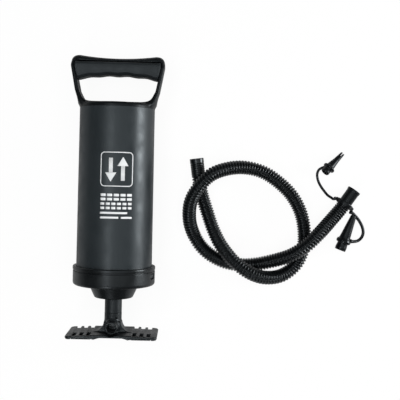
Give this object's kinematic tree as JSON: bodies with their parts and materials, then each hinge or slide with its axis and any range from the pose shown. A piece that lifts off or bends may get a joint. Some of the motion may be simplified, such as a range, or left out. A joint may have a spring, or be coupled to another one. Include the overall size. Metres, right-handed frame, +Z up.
{
  "type": "double action hand pump",
  "caption": "Upright hand pump with a loop handle, sliding barrel, grooved foot and air ports, lying beside its corrugated hose with tethered nozzles.",
  "frame": {"origin": "on the surface that the pump lies on, below the middle of the pump's own box (the hose and nozzles are not counted)", "axes": "+Y along the pump towards its handle, +X across it towards the hose, +Z up out of the surface and out of the pump's front"},
  "size_m": [0.3956, 0.3598, 0.1064],
  "materials": {
    "barrel_plastic": "satin graphite grey moulded plastic",
    "black_plastic": "satin black moulded plastic",
    "inner_nylon": "plain grey nylon, hidden inside",
    "seal_rubber": "black seal rubber",
    "hose_plastic": "semi-gloss black soft plastic",
    "nozzle_plastic": "semi-gloss black soft plastic",
    "screw_steel": "zinc plated steel"
  },
  "bodies": {
    "barrel": {"barrel": "barrel_plastic", "handle_frame": "barrel_plastic", "grip_front": "black_plastic", "grip_rear": "black_plastic", "grip_screws": "screw_steel", "end_cap": "black_plastic", "cap_gasket": "seal_rubber", "rod_bush": "inner_nylon", "rod_seal": "seal_rubber", "seal_retainer": "inner_nylon", "retainer_screws": "screw_steel", "top_bumper": "seal_rubber", "bottom_bumper": "seal_rubber", "hose_tube": "hose_plastic", "hose_cuff": "hose_plastic", "hose_sleeve": "hose_plastic", "tether_ring": "nozzle_plastic", "strap_small": "nozzle_plastic", "strap_large": "nozzle_plastic", "nozzle_small": "nozzle_plastic", "nozzle_large": "nozzle_plastic"},
    "piston_ring": {"piston_ring": "seal_rubber"},
    "plunger": {"piston_lower": "inner_nylon", "piston_divider": "inner_nylon", "piston_upper": "inner_nylon", "piston_screws": "screw_steel", "rod_outer_tube": "black_plastic", "rod_inner_tube": "inner_nylon", "foot": "black_plastic", "lock_pin": "black_plastic"},
    "upper_inlet_valve": {"upper_inlet_flap": "seal_rubber"},
    "upper_outlet_valve": {"upper_outlet_flap": "seal_rubber"},
    "lower_inlet_valve": {"lower_inlet_flap": "seal_rubber"},
    "lower_outlet_valve": {"lower_outlet_flap": "seal_rubber"}
  },
  "joints": [
    {"name": "stroke", "type": "slide", "parent": "barrel", "child": "piston_ring", "axis": [0, -0.9997, 0.0259], "range_m": [0, 0.185]},
    {"name": "turn", "type": "hinge", "parent": "piston_ring", "child": "plunger", "pos_m": [0, 0.08991, 0.04832], "axis": [0, 0.9997, -0.0259], "continuous": true},
    {"name": "upper_inlet_lift", "type": "slide", "parent": "plunger", "child": "upper_inlet_valve", "axis": [0, 0.9997, -0.0259], "range_m": [0, 0.0012], "stiffness_N_per_m": 5},
    {"name": "upper_outlet_lift", "type": "slide", "parent": "plunger", "child": "upper_outlet_valve", "axis": [0, -0.9997, 0.0259], "range_m": [0, 0.0012], "stiffness_N_per_m": 5},
    {"name": "lower_inlet_lift", "type": "slide", "parent": "plunger", "child": "lower_inlet_valve", "axis": [0, -0.9997, 0.0259], "range_m": [0, 0.0012], "stiffness_N_per_m": 5},
    {"name": "lower_outlet_lift", "type": "slide", "parent": "plunger", "child": "lower_outlet_valve", "axis": [0, 0.9997, -0.0259], "range_m": [0, 0.0012], "stiffness_N_per_m": 5}
  ]
}
